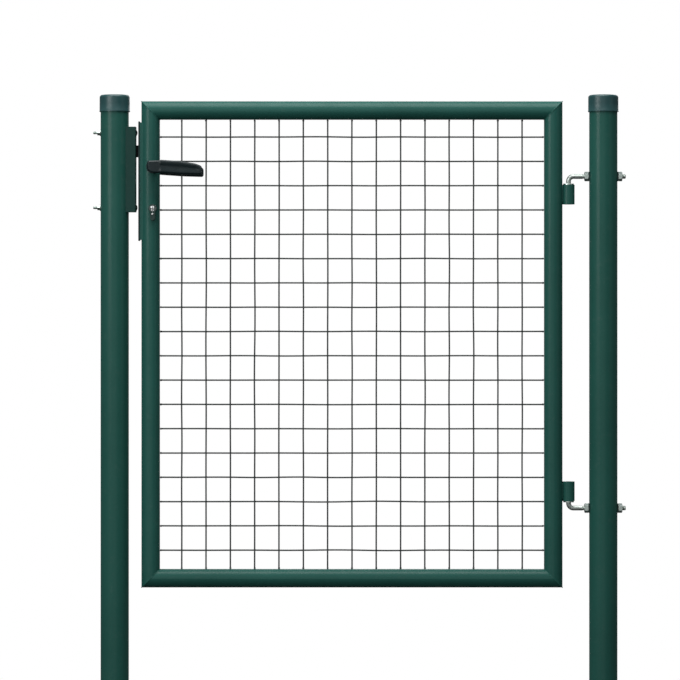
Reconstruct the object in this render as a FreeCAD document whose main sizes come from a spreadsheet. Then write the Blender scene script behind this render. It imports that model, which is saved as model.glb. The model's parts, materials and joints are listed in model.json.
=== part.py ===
"""Garden gate: a welded tube leaf with a wire mesh, hung between two round posts.

Frame of reference, in millimetres: the origin lies on the ground line of the two posts, midway
between them. +X runs from the lock post to the hinge post, +Z is up and the front faces -Y.
"""
import FreeCAD, Part
import os
import re

import Sketcher
from FreeCAD import Placement, Rotation, Vector

doc = FreeCAD.newDocument("garden_gate")

# ---------------------------------------------------------------- driving dimensions
SIZES = {
    # how far a cutting shape reaches past the surface it cuts
    "cut_past": 1,
    # posts
    "post_dia": 58,
    "post_wall": 1.5,
    "post_below_leaf": 490,
    "post_above_leaf": 10,
    "cap_wall": 2.5,
    "cap_top": 3,
    "cap_skirt": 32,
    "cap_round": 7,
    "cap_dome": 0.8,
    # leaf
    "leaf_width": 866,
    "leaf_height": 1000,
    "lock_gap": 26,
    "hinge_gap": 55,
    "frame_dia": 38,
    "frame_wall": 1.5,
    "wire_dia": 3.2,
    "mesh_pitch": 50,
    "mesh_edge_least": 30,
    "mesh_lift": 1.5,
    # hinges
    "socket_dia": 25,
    "socket_height": 40,
    "hinge_spread": 610,
    "hinge_lift": 3,
    "pin_dia": 10,
    "pin_play": 0.06,
    "pin_bend": 12,
    "pin_short": 4,
    "pin_tail": 17,
    "upper_pin_lift": 2.8,
    "lower_pin_play": 0.2,
    "pin_washer_dia": 22,
    "pin_washer_thick": 2.5,
    "nut_flats": 17,
    "nut_thick": 8.5,
    "saddle_width": 19,
    "saddle_stand": 1.5,
    "saddle_deep": 5,
    "weld_reach": 4.5,
    "weld_gap": 3,
    # keep on the lock post
    "keep_width": 35,
    "keep_sheet": 2.5,
    "keep_bend": 2,
    "keep_slot_play": 2,
    "keep_stand": 15,
    "keep_height": 175,
    "keep_top_drop": 53,
    "keep_bolt_dia": 6,
    "keep_bolt_inset": 12,
    "keep_bolt_lower_inset": 9,
    "keep_head_dia": 15,
    "keep_head_rise": 3,
    "keep_bolt_tail": 15,
    "keep_nut_flats": 10,
    "keep_nut_thick": 5,
    "keep_washer_dia": 13,
    "keep_washer_thick": 1.6,
    # lock
    "plate_width": 24,
    "plate_height": 245,
    "plate_thick": 3,
    "plate_proud": 6,
    "plate_top_drop": 42,
    "screw_dia": 5,
    "screw_head_dia": 9.6,
    "screw_head_deep": 2.3,
    "plate_screw_inset": 9,
    "plate_screw_grip": 12,
    "tube_gap": 0.5,
    "pocket_short": 2,
    "pocket_width": 22,
    "pocket_wall": 2.5,
    "pocket_end": 14,
    "case_thick": 16,
    "case_wall": 1.5,
    "case_above_spindle": 60,
    "case_below_cylinder": 32,
    "case_play": 0.4,
    "case_post_dia": 6,
    "case_screw_dia": 3,
    "case_screw_head_dia": 5,
    "case_screw_head": 0.4,
    "case_screw_floor": 4,
    "case_screw_inset": 6,
    "case_screw_drop": 5.5,
    "case_screw_rise": 4.7,
    "middle_screw_inset": 4.6,
    "middle_screw_drop": 22,
    "spindle_offset": 5,
    "spindle_drop": 136,
    "spindle_square": 8,
    "lock_distance": 85,
    "slide_play": 0.3,
    "turn_play": 0.05,
    "latch_tall": 24,
    "latch_thick": 11.5,
    "latch_rise": 33,
    "latch_out": 13,
    "latch_body": 26,
    "latch_tail_dia": 5,
    "deadbolt_tall": 32,
    "deadbolt_thick": 10,
    "deadbolt_rise": 28,
    "deadbolt_long": 31,
    "follower_dia": 16.5,
    "follower_arm": 19,
    "follower_arm_wide": 5,
    "follower_lean": 31.5,
    "follower_gap": 0.5,
    "lug_thick": 1.8,
    "lug_grip": 3.5,
    "lug_play": 0.7,
    "lug_wide": 8,
    "carrier_tall": 5.5,
    "latch_tail_long": 8,
    "latch_bevel": 9,
    "latch_nose": 3,
    "spring_wire": 1.2,
    "spring_dia": 8.4,
    "spring_turns": 5,
    "journal_dia": 14,
    "cylinder_dia": 17,
    "cylinder_tail_wide": 10,
    "cylinder_height": 33,
    "cylinder_proud": 8,
    "profile_play": 0.5,
    "fixing_screw_rise": 5.5,
    "fixing_screw_short": 0.5,
    "plug_dia": 13,
    "plug_proud": 0.6,
    "cam_reach": 10.8,
    "cam_thick": 9,
    "cam_gap": 0.7,
    "cam_lobe_wide": 5,
    "key_slot_wide": 2.4,
    "key_slot_tall": 9,
    "key_slot_deep": 18,
    "key_slot_low": 0.8,
    # handles
    "bush_flange_dia": 26,
    "bush_flange_thick": 2.5,
    "bush_dia": 20,
    "neck_dia": 16,
    "hub_dia": 21,
    "hub_sink": 2,
    "spindle_sink": 5,
    "grub_along": 7,
    "grub_sink": 1.5,
    "grip_stand": 43,
    "grip_thick": 14,
    "grip_tall": 27.5,
    "grip_tip_tall": 25,
    "grip_long": 104,
    "grip_shift": 4,
    "grip_sink": 2.5,
    "grip_droop": 6,
    "grip_nose": 3.5,
    "grip_round": 4,
}

# Places worked out from the sizes; each formula may use any name above it.
PLACES = {
    "zero": "0",
    "wire_radius": "wire_dia / 2",
    "post_length": "post_below_leaf + leaf_height + post_above_leaf",
    "post_x": "(leaf_width + lock_gap + hinge_gap + post_dia) / 2",
    "post_bore": "post_dia - 2 * post_wall",
    "leaf_left_x": "-post_x + post_dia / 2 + lock_gap",
    "leaf_right_x": "leaf_left_x + leaf_width",
    "leaf_mid_x": "leaf_left_x + leaf_width / 2",
    "leaf_low_z": "post_below_leaf",
    "leaf_top_z": "leaf_low_z + leaf_height",
    "leaf_mid_z": "leaf_low_z + leaf_height / 2",
    "frame_radius": "frame_dia / 2",
    "frame_bore": "frame_dia - 2 * frame_wall",
    "lock_stile_x": "leaf_left_x + frame_radius",
    "hinge_stile_x": "leaf_right_x - frame_radius",
    "low_rail_z": "leaf_low_z + frame_radius",
    "top_rail_z": "leaf_top_z - frame_radius",
    "mesh_wide": "leaf_width - 2 * frame_dia",
    "mesh_tall": "leaf_height - 2 * frame_dia",
    "upright_count": "floor((mesh_wide - 2 * mesh_edge_least) / mesh_pitch) + 1",
    "cross_count": "floor((mesh_tall - 2 * mesh_edge_least) / mesh_pitch) + 1",
    "uprights_span": "(upright_count - 1) * mesh_pitch",
    "crosses_span": "(cross_count - 1) * mesh_pitch",
    "first_upright_x": "leaf_mid_x - uprights_span / 2",
    "first_cross_z": "leaf_mid_z + mesh_lift - crosses_span / 2",
    # hinges
    "pin_x": "leaf_right_x + socket_dia / 2",
    "socket_bore": "pin_dia + 2 * pin_play",
    "upper_socket_z": "leaf_mid_z + hinge_lift + hinge_spread / 2 - socket_height / 2",
    "lower_socket_z": "leaf_mid_z + hinge_lift - hinge_spread / 2 - socket_height / 2",
    "upper_pin_z": "upper_socket_z + socket_height + pin_washer_thick + upper_pin_lift + pin_bend",
    "lower_pin_z": "lower_socket_z - lower_pin_play - pin_washer_thick - pin_bend",
    "pin_leg": "socket_height - pin_short + pin_washer_thick",
    "pin_end_x": "post_x + post_dia / 2 + pin_tail",
    "nut_in_x": "post_x - post_dia / 2 - saddle_stand - nut_thick",
    "nut_out_x": "post_x + post_dia / 2 + saddle_stand",
    # keep
    "keep_top_z": "leaf_top_z - keep_top_drop",
    "keep_low_z": "keep_top_z - keep_height",
    "keep_face_x": "-post_x + post_dia / 2 + keep_stand",
    "keep_back_x": "keep_face_x - keep_sheet",
    "keep_upper_bolt_z": "keep_top_z - keep_bolt_inset",
    "keep_lower_bolt_z": "keep_low_z + keep_bolt_lower_inset",
    "post_left_x": "-post_x - post_dia / 2",
    # lock
    "plate_face_x": "leaf_left_x - plate_proud",
    "plate_back_x": "plate_face_x + plate_thick",
    "plate_top_z": "leaf_top_z - plate_top_drop",
    "plate_low_z": "plate_top_z - plate_height",
    "pocket_top_z": "plate_top_z - pocket_short",
    "pocket_low_z": "plate_low_z + pocket_short",
    "pocket_back_x": "lock_stile_x + sqrt((frame_bore / 2)^2 - (pocket_width / 2)^2) - tube_gap",
    "case_back_x": "lock_stile_x + sqrt((frame_bore / 2)^2 - (case_thick / 2)^2) - tube_gap",
    "upper_screw_z": "plate_top_z - plate_screw_inset",
    "lower_screw_z": "plate_low_z + plate_screw_inset",
    "spindle_x": "lock_stile_x + spindle_offset",
    "spindle_z": "leaf_top_z - spindle_drop",
    "cylinder_z": "spindle_z - lock_distance",
    "case_top_z": "spindle_z + case_above_spindle",
    "case_low_z": "cylinder_z - case_below_cylinder",
    "latch_z": "spindle_z + latch_rise",
    "latch_tip_x": "plate_face_x - latch_out",
    "latch_back_x": "latch_tip_x + latch_body",
    "latch_low_z": "latch_z - latch_tall / 2",
    "lug_rise": "follower_arm - lug_grip",
    "lug_low_z": "spindle_z + lug_rise",
    "arm_half": "follower_arm_wide / 2",
    "arm_reach_x": "lug_rise * tan(follower_lean) - arm_half / cos(follower_lean)",
    "lug_x": "spindle_x - arm_reach_x + lug_play",
    "spring_long": "case_back_x - case_wall - latch_back_x",
    "deadbolt_z": "cylinder_z + deadbolt_rise",
    "cylinder_long": "frame_dia + 2 * cylinder_proud",
    "cylinder_low_z": "cylinder_z + cylinder_dia / 2 - cylinder_height",
    "fixing_screw_z": "cylinder_low_z + fixing_screw_rise",
    "fixing_screw_end_x": "spindle_x + cylinder_tail_wide / 2 - fixing_screw_short",
    "cam_lobe_long": "sqrt(cam_reach^2 - (cam_lobe_wide / 2)^2)",
    "flange_back_y": "frame_radius",
    "flange_face_y": "frame_radius + bush_flange_thick",
    "hub_back_y": "flange_face_y + slide_play",
    "spindle_end_y": "grip_stand + spindle_sink",
    "grub_y": "hub_back_y + grub_along",
    "grip_root_x": "spindle_x + grip_shift",
    "grip_root_z": "spindle_z - grip_sink",
    "grip_tip_x": "spindle_x + grip_long",
    "grip_tip_z": "grip_root_z - grip_droop",
}


def fill_sheet():
    """The sheet of sizes: plain numbers first, then the places worked out from them."""
    sheet = doc.addObject("Spreadsheet::Sheet", "sizes")
    cells = [(name, str(size)) for name, size in SIZES.items()]
    cells += [(name, "=" + formula) for name, formula in PLACES.items()]
    for row, (name, content) in enumerate(cells, start=1):
        sheet.set(f"A{row}", name)
        sheet.set(f"B{row}", content)
        sheet.setAlias(f"B{row}", name)
    doc.recompute()
    return sheet


sheet = fill_sheet()
parts = {}


# ---------------------------------------------------------------- helpers
def amount(term):
    """The number behind a name of the sheet, or behind a minus sign and a name."""
    if term.startswith("-"):
        return -sheet.get(term[1:])
    return float(sheet.get(term))


def tied(formula):
    """A formula in names of the sheet, written for an object outside the sheet."""
    def full_name(word):
        return "sizes." + word.group() if word.group() in SIZES | PLACES else word.group()

    return re.sub(r"[a-z_]+", full_name, formula)


def tie(item, **formulas):
    for name, formula in formulas.items():
        item.setExpression(name, tied(formula))
    return item


def put(item, x="0", y="0", z="0", turn=None):
    """Places an object by formulas, after an optional fixed turn."""
    item.Placement = Placement(Vector(), turn or Rotation())
    for axis, formula in zip("xyz", (x, y, z)):
        if formula != "0":
            item.setExpression("Placement.Base." + axis, tied(formula))
    return item


ALONG_X = Rotation(Vector(0, 1, 0), 90)
ALONG_Y = Rotation(Vector(1, 0, 0), -90)
TOWARDS_FRONT = Rotation(Vector(1, 0, 0), 90)
UPRIGHT = Rotation()

# Tolerances for picking edges: a distance, and the share of a direction.
NEAR = 0.01
MOSTLY = 0.99


def cylinder(name, dia, long, x="0", y="0", z="0", turn=UPRIGHT):
    """A round bar that starts at (x, y, z) and runs along +Z, or +X or +Y when turned."""
    item = doc.addObject("Part::Cylinder", name)
    tie(item, Radius=f"( {dia} ) / 2", Height=long)
    return put(item, x, y, z, turn)


def box(name, wide, deep, tall, x, y, z):
    """A block with its lowest corner at (x, y, z)."""
    item = doc.addObject("Part::Box", name)
    tie(item, Length=wide, Width=deep, Height=tall)
    return put(item, x, y, z)


def hexagon(name, flats, thick, x, y, z, turn=ALONG_X):
    """A hexagonal nut blank, its corner radius worked out from the width across flats."""
    item = doc.addObject("Part::Prism", name)
    item.Polygon = 6
    tie(item, Circumradius=f"{flats} / ( 2 * cos(30) )", Height=thick)
    return put(item, x, y, z, turn)


def fuse(name, *shapes):
    item = doc.addObject("Part::MultiFuse", name)
    item.Shapes = list(shapes)
    return item


def cut(name, base, *tools):
    item = doc.addObject("Part::Cut", name)
    item.Base = base
    item.Tool = tools[0] if len(tools) == 1 else fuse(name + "_tools", *tools)
    return item


def common(name, one, other):
    item = doc.addObject("Part::Common", name)
    item.Base = one
    item.Tool = other
    return item


def group(name, *solids):
    """Identical fasteners share one node as separate solids."""
    item = doc.addObject("Part::Compound", name)
    item.Links = list(solids)
    return item


def add_part(label, item):
    """Takes an object up as a finished sub-part, which its label names."""
    item.Label = label
    parts[label] = item
    return item


def new_body(name):
    body = doc.addObject("PartDesign::Body", name)
    body.AllowCompound = True
    return body


def sketch_on(body, role, name, lift="0"):
    """A sketch on one of the body's own planes, lifted along that plane's normal."""
    item = body.newObject("Sketcher::SketchObject", name)
    plane = next(side for side in body.Origin.OriginFeatures if side.Role == role)
    item.AttachmentSupport = [(plane, "")]
    item.MapMode = "FlatFace"
    if lift != "0":
        item.setExpression("AttachmentOffset.Base.z", tied(lift))
    return item


def constrain(sketch, kind, *rest, formula=None):
    index = sketch.addConstraint(Sketcher.Constraint(kind, *rest))
    if formula:
        sketch.setExpression(f"Constraints[{index}]", tied(formula))


def draw_circle(sketch, across, up, dia):
    """A circle whose centre and diameter are names of the sheet."""
    centre = Vector(amount(across), amount(up), 0)
    index = sketch.addGeometry(Part.Circle(centre, Vector(0, 0, 1), amount(dia) / 2))
    constrain(sketch, "DistanceX", -1, 1, index, 3, centre.x, formula=across)
    constrain(sketch, "DistanceY", -1, 1, index, 3, centre.y, formula=up)
    constrain(sketch, "Diameter", index, amount(dia), formula=dia)


def measure(formulas):
    """The present numbers of formulas, read through a scratch sheet."""
    scratch = doc.addObject("Spreadsheet::Sheet", "scratch")
    for row, formula in enumerate(formulas, start=1):
        scratch.set(f"A{row}", "=" + tied(formula))
    scratch.recompute()
    numbers = [float(scratch.get(f"A{row}")) for row in range(1, len(formulas) + 1)]
    doc.removeObject(scratch.Name)
    return numbers


def draw_outline(sketch, corners):
    """A closed outline of straight lines; each corner is a pair of formulas."""
    numbers = measure([formula for corner in corners for formula in corner])
    points = [Vector(numbers[2 * i], numbers[2 * i + 1], 0) for i in range(len(corners))]
    lines = []
    for start, end in zip(points, points[1:] + points[:1]):
        lines.append(sketch.addGeometry(Part.LineSegment(start, end)))
    for line, after in zip(lines, lines[1:] + lines[:1]):
        constrain(sketch, "Coincident", line, 2, after, 1)
    for line, point, (across, up) in zip(lines, points, corners):
        constrain(sketch, "DistanceX", -1, 1, line, 1, point.x, formula=across)
        constrain(sketch, "DistanceY", -1, 1, line, 1, point.y, formula=up)


def draw_rectangle(sketch, left, right, low, high):
    draw_outline(sketch, [(left, low), (right, low), (right, high), (left, high)])


def pad(body, sketch, long, both_ways=False, back=False):
    item = body.newObject("PartDesign::Pad", sketch.Name + "_pad")
    item.Profile = sketch
    item.Midplane = both_ways
    item.Reversed = back
    tie(item, Length=long)
    return item


def pocket(body, sketch):
    """Cuts the sketch right through the body, both ways from its plane."""
    before = body.Tip.Shape.Volume if body.Tip.Shape.isValid() else 0
    item = body.newObject("PartDesign::Pocket", sketch.Name + "_pocket")
    item.Profile = sketch
    item.Type = "ThroughAll"
    item.Midplane = True
    doc.recompute()
    if item.Shape.Volume >= before:
        raise ValueError(item.Name + " cuts nothing")
    return item


def round_edges(body, name, base, wanted, radius):
    """Fillets the edges of a feature that a test picks by their middle point."""
    doc.recompute()
    names = []
    for number, edge in enumerate(base.Shape.Edges, start=1):
        if wanted(edge):
            names.append(f"Edge{number}")
    item = body.newObject("PartDesign::Fillet", name)
    item.Base = (base, names)
    tie(item, Radius=radius)
    doc.recompute()
    return item


# ---------------------------------------------------------------- posts
def post(label, side, holes):
    """A round tube standing on the ground line, drilled along X for its fittings."""
    centre = f"{side} * post_x"
    outside = cylinder(label + "_outside", "post_dia", "post_length", x=centre)
    inside = cylinder(label + "_inside", "post_bore", "post_length", x=centre)
    drills = [cylinder(f"{label}_hole_{n}", dia, "post_dia + 2 * cut_past",
                       f"{centre} - post_dia / 2 - cut_past", "0", height, ALONG_X)
              for n, (dia, height) in enumerate(holes)]
    add_part(label, cut(label, outside, inside, *drills))


def post_cap(label, side):
    """A turned plastic cap: a skirt round the post's end under a rounded top."""
    body = new_body(label)
    profile = sketch_on(body, "XZ_Plane", label + "_profile")
    seat = "post_length"
    low = "post_length - cap_skirt"
    top = "post_length + cap_top"
    rim = "post_dia / 2 + cap_wall"
    corner = "cap_round * ( 1 - cos(45) )"
    draw_outline(profile, [
        ("0", seat), ("post_dia / 2", seat), ("post_dia / 2", low), (rim, low),
        (rim, f"{top} - cap_round"), (f"{rim} - {corner}", f"{top} - {corner}"),
        (f"{rim} - cap_round", top), ("0", f"{top} + cap_dome")])
    turned = body.newObject("PartDesign::Revolution", label + "_turned")
    turned.Profile = profile
    turned.ReferenceAxis = (profile, ["V_Axis"])
    turned.Angle = 360
    body.Tip = turned
    add_part(label, put(body, x=f"{side} * post_x"))


# ---------------------------------------------------------------- leaf frame and mesh
def frame_tube(name, long, mid_x, mid_z, turn):
    """A tube whose ends are mitred at 45 degrees; before its turn it lies along X, inside down."""
    body = new_body(name)
    section = sketch_on(body, "YZ_Plane", name + "_section")
    draw_circle(section, "zero", "zero", "frame_dia")
    draw_circle(section, "zero", "zero", "frame_bore")
    pad(body, section, long, both_ways=True)
    mitres = sketch_on(body, "XZ_Plane", name + "_mitres")
    for side in ("1", "-1"):
        end = f"{side} * ( {long} / 2 + cut_past )"
        inner = f"{side} * ( {long} / 2 - frame_dia - cut_past )"
        inside = "-1 * frame_radius - cut_past"
        draw_outline(mitres, [(end, "frame_radius + cut_past"), (end, inside), (inner, inside)])
    doc.recompute()
    pocket(body, mitres)
    return put(body, x=mid_x, z=mid_z, turn=turn)


def frame_tubes():
    """Two rails and two stiles, welded at their mitres; the lock stile is cut for the lock."""
    flip = Rotation(Vector(1, 0, 0), 180)
    inside_right = Rotation(Vector(0, 1, 0), -90)
    inside_left = Rotation(Vector(0, 1, 0), 90)
    add_part("top_rail", frame_tube("top_rail", "leaf_width", "leaf_mid_x", "top_rail_z", UPRIGHT))
    add_part("bottom_rail", frame_tube("bottom_rail", "leaf_width", "leaf_mid_x", "low_rail_z", flip))
    add_part("hinge_stile",
         frame_tube("hinge_stile", "leaf_height", "hinge_stile_x", "leaf_mid_z", inside_left))
    tube = frame_tube("lock_stile_tube", "leaf_height", "lock_stile_x", "leaf_mid_z", inside_right)
    slot = box("stile_slot", "frame_radius + cut_past", "pocket_width",
               "pocket_top_z - pocket_low_z", "leaf_left_x - cut_past", "-1 * pocket_width / 2",
               "pocket_low_z")
    add_part("lock_stile", cut("lock_stile", tube, slot, *lock_openings("stile", "frame_dia")))


def lock_openings(owner, deep):
    """Front-to-back openings for the handle bushes and the profile cylinder."""
    through = deep + " + 2 * cut_past"
    bush_hole = cylinder(owner + "_bush_hole", "bush_dia", through, "spindle_x",
                         f"-1 * ( {through} ) / 2", "spindle_z", ALONG_Y)
    return [bush_hole] + profile_cylinder(owner + "_profile", through, "profile_play")


def profile_cylinder(owner, deep, play):
    """The two solids of a profile cylinder's outline: a round barrel over a narrow tail."""
    start = f"-1 * ( {deep} ) / 2"
    barrel = cylinder(owner + "_barrel", f"cylinder_dia + {play}", deep, "spindle_x", start,
                      "cylinder_z", ALONG_Y)
    tail = box(owner + "_tail", f"cylinder_tail_wide + {play}", deep,
               "cylinder_height - cylinder_dia / 2 - cylinder_tail_wide / 2",
               f"spindle_x - cylinder_tail_wide / 2 - {play} / 2", start,
               "cylinder_low_z + cylinder_tail_wide / 2")
    foot = cylinder(owner + "_foot", f"cylinder_tail_wide + {play}", deep, "spindle_x", start,
                    "cylinder_low_z + cylinder_tail_wide / 2", ALONG_Y)
    return [barrel, tail, foot]


def mesh_wires(label, role, across, up, long, count, span, axis, ends):
    """Parallel wires of the mesh, cut where they meet the frame tubes that they are welded to."""
    body = new_body(label)
    start = sketch_on(body, role, label + "_section", lift=ends[0])
    draw_circle(start, across, up, "wire_dia")
    wire = pad(body, start, long)
    doc.recompute()
    row = body.newObject("PartDesign::LinearPattern", label + "_row")
    row.Originals = [wire]
    row.Direction = (start, [axis])
    tie(row, Length=span, Occurrences=count)
    body.Tip = row
    doc.recompute()
    tubes = sketch_on(body, ends[1], label + "_tubes")
    for tube_across, tube_up in ends[2]:
        draw_circle(tubes, tube_across, tube_up, "frame_dia")
    body.Tip = pocket(body, tubes)
    return add_part(label, body)


def mesh():
    """Upright wires in front, cross wires behind, touching where they are spot-welded."""
    mesh_wires("upright_wires", "XY_Plane", "first_upright_x", "-wire_radius",
               "top_rail_z - low_rail_z", "upright_count", "uprights_span", "H_Axis",
               ("low_rail_z", "YZ_Plane", [("zero", "low_rail_z"), ("zero", "top_rail_z")]))
    mesh_wires("cross_wires", "YZ_Plane", "wire_radius", "first_cross_z",
               "hinge_stile_x - lock_stile_x", "cross_count", "crosses_span", "V_Axis",
               ("lock_stile_x", "XY_Plane", [("lock_stile_x", "zero"), ("hinge_stile_x", "zero")]))


# ---------------------------------------------------------------- hinges
def hinge_socket(name, low):
    """A short thick tube welded against the hinge stile, bored for the pin."""
    outside = cylinder(name + "_outside", "socket_dia", "socket_height", "pin_x", "0", low)
    bore = cylinder(name + "_bore", "socket_bore", "socket_height", "pin_x", "0", low)
    add_part(name, cut(name, outside, bore))


def hinge_welds():
    """Weld metal in the grooves between each socket and the stile, front and back."""
    beads = []
    for place in ("upper", "lower"):
        low = place + "_socket_z"
        bar = box(f"{place}_weld_bar", "2 * weld_reach", "2 * weld_reach", "socket_height",
                  "leaf_right_x - weld_reach", "-1 * weld_reach", low)
        middle = box(f"{place}_weld_middle", "4 * weld_reach", "weld_gap", "socket_height",
                     "leaf_right_x - 2 * weld_reach", "-1 * weld_gap / 2", low)
        stile = cylinder(f"{place}_weld_stile", "frame_dia", "leaf_height", "hinge_stile_x",
                         "0", "leaf_low_z")
        socket = cylinder(f"{place}_weld_socket", "socket_dia", "socket_height", "pin_x", "0", low)
        beads.append(cut(f"{place}_weld", bar, middle, stile, socket))
    add_part("hinge_welds", group("hinge_welds", *beads))


def hinge_pin(label, height, down):
    """A round bar bent to an L: one leg through the post, the other upright in the socket."""
    sign = "-1" if down else "1"
    body = new_body(label)
    route = sketch_on(body, "XZ_Plane", label + "_route")
    corner = f"{height} + {sign} * pin_bend"
    tip = f"{height} + {sign} * ( pin_bend + pin_leg{' + upper_pin_lift' if down else ''} )"
    spots = [("pin_x", tip), ("pin_x", corner), ("pin_x + pin_bend", height),
             ("pin_end_x", height)]
    *numbers, bend = measure([formula for spot in spots for formula in spot] + ["pin_bend"])
    points = [Vector(x, z, 0) for x, z in zip(numbers[0::2], numbers[1::2])]
    leg = route.addGeometry(Part.LineSegment(points[0], points[1]))
    centre = Vector(points[2].x, points[1].y, 0)
    middle = centre + (points[1] + points[2] - centre * 2).normalize() * bend
    elbow = route.addGeometry(Part.Arc(points[1], middle, points[2]))
    bar = route.addGeometry(Part.LineSegment(points[2], points[3]))
    elbow_ends = (2, 1) if down else (1, 2)
    constrain(route, "Coincident", leg, 2, elbow, elbow_ends[0])
    constrain(route, "Coincident", elbow, elbow_ends[1], bar, 1)
    constrain(route, "Radius", elbow, bend, formula="pin_bend")
    for line, end, point, (across, up) in zip((leg, leg, bar, bar), (1, 2, 1, 2), points, spots):
        constrain(route, "DistanceX", -1, 1, line, end, point.x, formula=across)
        constrain(route, "DistanceY", -1, 1, line, end, point.y, formula=up)
    section = sketch_on(body, "XY_Plane", label + "_section", lift=tip)
    draw_circle(section, "pin_x", "zero", "pin_dia")
    doc.recompute()
    pipe = body.newObject("PartDesign::AdditivePipe", label + "_bar")
    pipe.Profile = section
    pipe.Spine = (route, [])
    body.Tip = pipe
    add_part(label, body)


def washer(name, outer, bore, thick, x, y, z, turn=UPRIGHT):
    """A flat washer."""
    disc = cylinder(name + "_disc", outer, thick, x, y, z, turn)
    hole = cylinder(name + "_hole", bore, thick, x, y, z, turn)
    return cut(name, disc, hole)


def hinge_nuts(label, height):
    """Two hexagon nuts that clamp a hinge pin to the post, one on each side."""
    nuts = []
    for side, start in (("inner", "nut_in_x"), ("outer", "nut_out_x")):
        name = f"{label}_{side}"
        blank = hexagon(name + "_blank", "nut_flats", "nut_thick", start, "0", height)
        bore = cylinder(name + "_bore", "pin_dia", "nut_thick", start, "0", height, ALONG_X)
        nuts.append(cut(name, blank, bore))
    add_part(label, group(label, *nuts))


def hinge_saddles():
    """Pads under the hinge nuts, hollowed to the curve of the post."""
    pads = []
    for place in ("upper", "lower"):
        height = place + "_pin_z"
        for side, start in (("inner", "nut_in_x + nut_thick"), ("outer", "nut_out_x - saddle_deep")):
            name = f"{place}_{side}_saddle"
            block = box(name + "_block", "saddle_deep", "saddle_width", "saddle_width", start,
                        "-1 * saddle_width / 2", f"{height} - saddle_width / 2")
            tube = cylinder(name + "_post", "post_dia", "post_length", "post_x")
            hole = cylinder(name + "_hole", "pin_dia", "saddle_deep", start, "0", height, ALONG_X)
            pads.append(cut(name, block, tube, hole))
    add_part("hinge_saddles", group("hinge_saddles", *pads))


def hinges():
    hinge_socket("upper_hinge_socket", "upper_socket_z")
    hinge_socket("lower_hinge_socket", "lower_socket_z")
    hinge_welds()
    hinge_pin("upper_hinge_pin", "upper_pin_z", down=True)
    hinge_pin("lower_hinge_pin", "lower_pin_z", down=False)
    hinge_nuts("upper_hinge_nuts", "upper_pin_z")
    hinge_nuts("lower_hinge_nuts", "lower_pin_z")
    hinge_saddles()
    bore = "pin_dia + 4 * pin_play"
    add_part("upper_pin_washer",
             washer("upper_pin_washer", "pin_washer_dia", bore, "pin_washer_thick", "pin_x", "0",
                    "upper_socket_z + socket_height"))
    add_part("lower_pin_washer",
             washer("lower_pin_washer", "pin_washer_dia", "pin_dia", "pin_washer_thick", "pin_x",
                    "0", "lower_pin_z + pin_bend"))


# ---------------------------------------------------------------- keep on the lock post
def keep_channel():
    """A bent sheet channel on the lock post, slotted for the latch and the deadbolt."""
    body = new_body("keep_channel")
    section = sketch_on(body, "XY_Plane", "keep_section", lift="keep_low_z")
    half = "keep_width / 2"
    inner = "( keep_width / 2 - keep_sheet )"
    draw_outline(section, [
        ("-1 * post_x", f"-1 * {half}"), ("keep_face_x", f"-1 * {half}"), ("keep_face_x", half),
        ("-1 * post_x", half), ("-1 * post_x", inner), ("keep_back_x", inner),
        ("keep_back_x", f"-1 * {inner}"), ("-1 * post_x", f"-1 * {inner}")])
    channel = pad(body, section, "keep_height")

    def outer_bend(edge):
        middle = edge.CenterOfMass
        upright = abs(edge.tangentAt(edge.FirstParameter).z) > MOSTLY
        return upright and abs(middle.x - amount("keep_face_x")) < NEAR

    body.Tip = round_edges(body, "keep_bends", channel, outer_bend, "keep_bend")
    seat = sketch_on(body, "XY_Plane", "keep_seat")
    draw_circle(seat, "-post_x", "zero", "post_dia")
    body.Tip = pocket(body, seat)
    slots = sketch_on(body, "YZ_Plane", "keep_slots")
    for bolt in ("latch", "deadbolt"):
        half_wide = f"( {bolt}_thick / 2 + keep_slot_play )"
        half_tall = f"( {bolt}_tall / 2 + keep_slot_play )"
        draw_rectangle(slots, f"-1 * {half_wide}", half_wide, f"{bolt}_z - {half_tall}",
                       f"{bolt}_z + {half_tall}")
    for height in ("keep_upper_bolt_z", "keep_lower_bolt_z"):
        draw_circle(slots, "zero", height, "keep_bolt_dia")
    body.Tip = pocket(body, slots)
    add_part("keep_channel", body)


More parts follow.
